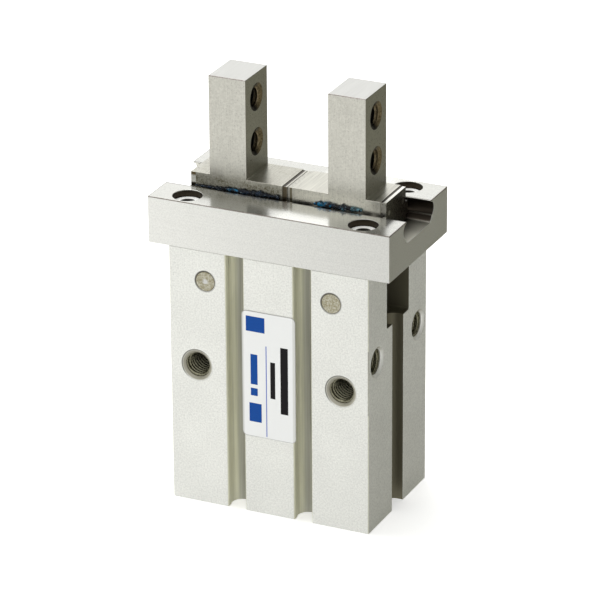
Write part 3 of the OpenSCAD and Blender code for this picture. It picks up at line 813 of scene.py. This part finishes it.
def bead(name, x0, x1, y, z, thick, end_thick, body, mat, seed):
    """A smear of grease along X, lumpy and crumbly all over. Its thickness runs from thick to end_thick."""
    count = max(10, int((x1 - x0) * RINGS_PER_MM))
    verts, faces = [], []
    for i in range(count + 1):
        t = i / count
        x = x0 + (x1 - x0) * t
        lump = 0.75 + 0.6 * noise.noise((x * 0.9, seed, 0)) + 0.3 * noise.noise((x * 2.4, seed, 5))
        ends = math.sqrt(max(0.0, 1 - (2 * t - 1) ** 8))
        r = max(0.05, (thick + (end_thick - thick) * t) * lump) * ends + 0.01
        centre_y = y + 0.15 * noise.noise((x * 0.9, seed, 9))
        for k in range(SIDES):
            a = 2 * math.pi * k / SIDES
            coarse = noise.noise((x * 2.2, math.cos(a) * 1.3 + seed, math.sin(a) * 1.3))
            fine = noise.noise((x * 6.0, math.cos(a) * 2.6 + seed, math.sin(a) * 2.6))
            rough = r * (1 + 0.55 * coarse + 0.35 * fine)
            at = Vector((x, centre_y + rough * SQUEEZE * math.cos(a), z + rough * math.sin(a)))
            verts.append(at * MM)
    for i in range(count):
        for k in range(SIDES):
            n = (k + 1) % SIDES
            faces.append((i * SIDES + k, i * SIDES + n, (i + 1) * SIDES + n, (i + 1) * SIDES + k))
    faces.append(tuple(range(SIDES)))
    faces.append(tuple(count * SIDES + k for k in reversed(range(SIDES))))
    piece(name, verts, faces, mat, body)


bead("left_front_grease", -19.3, -10.0, -5.1, TOP + 0.05, 0.22, 0.42, "left_jaw", navy_grease, 3.1)
bead("left_front_grease_mid", -14.5, -8.6, -5.15, TOP + 0.25, 0.34, 0.5, "left_jaw", teal_grease, 4.4)
bead("left_front_grease_dark", -10.4, -4.4, -5.15, TOP + 0.22, 0.55, 0.6, "left_jaw", navy_grease, 8.4)
bead("left_front_grease_end", -6.4, -1.4, -5.15, TOP + 0.3, 0.72, 0.4, "left_jaw", navy_grease, 5.3)
bead("right_front_grease", 5.6, 9.4, -5.15, TOP + 0.3, 0.62, 0.7, "right_jaw", teal_grease, 1.7)
bead("right_front_grease_dark", 8.2, 12.6, -5.2, TOP + 0.34, 0.52, 0.42, "right_jaw", navy_grease, 6.2)
bead("right_front_grease_end", 11.2, 15.6, -5.1, TOP + 0.42, 0.6, 0.34, "right_jaw", pale_grease, 9.1)
bead("left_back_grease", -16.0, -4.0, 5.3, TOP - 0.1, 0.36, 0.36, "left_jaw", navy_grease, 12.5)
bead("right_back_grease", 3.0, 15.5, 5.3, TOP - 0.1, 0.36, 0.36, "right_jaw", navy_grease, 15.9)


# ---- Floor, light and camera ----

FLOOR_HALF = 4.0
WHITE = (1.0, 1.0, 1.0)


def floor_material():
    """White paper that glows a little, and can't be seen from below."""
    mat = bpy.data.materials.new("floor_paper")
    mat.use_nodes = True
    g = Graph(mat.node_tree)
    g.tree.nodes.clear()
    matte = g.add("ShaderNodeBsdfDiffuse")
    g.feed(matte.inputs["Color"], (0.9, 0.9, 0.9))
    glow = g.add("ShaderNodeEmission")
    g.feed(glow.inputs["Color"], WHITE)
    g.feed(glow.inputs["Strength"], 0.45)
    paper = g.add("ShaderNodeAddShader")
    g.link(matte.outputs[0], paper.inputs[0])
    g.link(glow.outputs[0], paper.inputs[1])
    by_side = g.add("ShaderNodeMixShader")
    g.link(g.add("ShaderNodeNewGeometry").outputs["Backfacing"], by_side.inputs[0])
    g.link(paper.outputs[0], by_side.inputs[1])
    g.link(g.add("ShaderNodeBsdfTransparent").outputs[0], by_side.inputs[2])
    g.link(by_side.outputs[0], g.add("ShaderNodeOutputMaterial").inputs[0])
    return mat


def add_floor():
    corners = [(x * FLOOR_HALF, y * FLOOR_HALF, 0) for x, y in ((-1, -1), (1, -1), (1, 1), (-1, 1))]
    mesh = bpy.data.meshes.new("floor")
    mesh.from_pydata(corners, [], [(0, 1, 2, 3)])
    mesh.materials.append(floor_material())
    floor = bpy.data.objects.new("floor", mesh)
    scene.collection.objects.link(floor)
    floor.visible_glossy = False


def add_world():
    """Bright above and behind, a white table in front below, a dark room in front above and to the right."""
    world = bpy.data.worlds.new("studio")
    scene.world = world
    world.use_nodes = True
    g = Graph(world.node_tree)
    direction = g.add("ShaderNodeTexCoord").outputs["Generated"]
    split = g.add("ShaderNodeSeparateXYZ")
    g.link(direction, split.inputs[0])
    x, y, z = split.outputs

    def ramp(value, lo, hi, out_lo=0.0, out_hi=1.0):
        return g.spread(value, lo, hi, out_lo, out_hi, "SMOOTHSTEP")

    def toward(target):
        """The cosine of the angle to a direction."""
        node = g.add("ShaderNodeVectorMath", operation="DOT_PRODUCT")
        node.inputs[1].default_value = Vector(target).normalized()
        g.link(direction, node.inputs[0])
        return node.outputs["Value"]

    right = ramp(toward((0.857, 0.504, -0.1)), 0.15, 0.72)
    ahead = g.both(ramp(y, -0.15, -0.4), ramp(z, 0.05, 0.2))
    ahead = g.both(ahead, ramp(z, 0.95, 0.85))
    ahead = g.both(ahead, ramp(g.math("DIVIDE", x, y), 0.462, 0.482))
    behind = ramp(toward((-0.388, 0.832, 0.5)), 0.5, 0.95, 0.0, 0.3)
    bright = g.plus(behind, g.minus(0.98, g.times(z, 0.12)))
    bright = g.times(bright, g.minus(1.0, g.times(right, ramp(z, -0.3, 0.3, 0.8, 0.93))))
    bright = g.times(bright, g.minus(1.0, g.times(ahead, 0.86)))
    tone = g.mix(g.either(right, ahead), (1.0, 1.0, 0.985), (1.0, 0.985, 0.78))
    seen = g.add("ShaderNodeLightPath").outputs["Is Camera Ray"]
    background = g.tree.nodes["Background"]
    g.feed(background.inputs["Color"], g.mix(seen, g.dimmed(tone, bright), WHITE))
    g.feed(background.inputs["Strength"], 1.0)


def add_area(name, place, target, size, power):
    data = bpy.data.lights.new(name, "AREA")
    data.shape = "RECTANGLE"
    data.size, data.size_y = size
    data.energy = power
    lamp = bpy.data.objects.new(name, data)
    lamp.location = place
    lamp.rotation_mode = "QUATERNION"
    lamp.rotation_quaternion = (Vector(target) - Vector(place)).to_track_quat("-Z", "Y")
    scene.collection.objects.link(lamp)


# Camera: angles in degrees, places in metres, focal length in millimetres
AZIMUTH, ELEVATION, ROLL = 24.98, 23.35, -0.41
LOOK_AT = (0.00028, 0, 0.03975)
DISTANCE = 0.7735
FOCAL = 241.95


def add_camera():
    azimuth, elevation, roll = (math.radians(angle) for angle in (AZIMUTH, ELEVATION, ROLL))
    flat = math.cos(elevation)
    back = Vector((math.sin(azimuth) * flat, -math.cos(azimuth) * flat, math.sin(elevation)))
    level = Vector((math.cos(azimuth), math.sin(azimuth), 0))
    upright = back.cross(level)
    right = level * math.cos(roll) + upright * math.sin(roll)
    up = upright * math.cos(roll) - level * math.sin(roll)
    place = Vector(LOOK_AT) + back * DISTANCE
    data = bpy.data.cameras.new("camera")
    data.sensor_width = 36
    data.lens = FOCAL
    data.clip_start, data.clip_end = 0.05, 20
    cam = bpy.data.objects.new("camera", data)
    cam.matrix_world = Matrix((
        (right.x, up.x, back.x, place.x),
        (right.y, up.y, back.y, place.y),
        (right.z, up.z, back.z, place.z),
        (0, 0, 0, 1),
    ))
    scene.collection.objects.link(cam)
    scene.camera = cam


add_floor()
add_world()
add_area("top", (-0.25, 0.1, 0.8), (0, 0, 0.06), (0.6, 0.6), 4.0)
add_camera()
scene.view_settings.view_transform = "Standard"
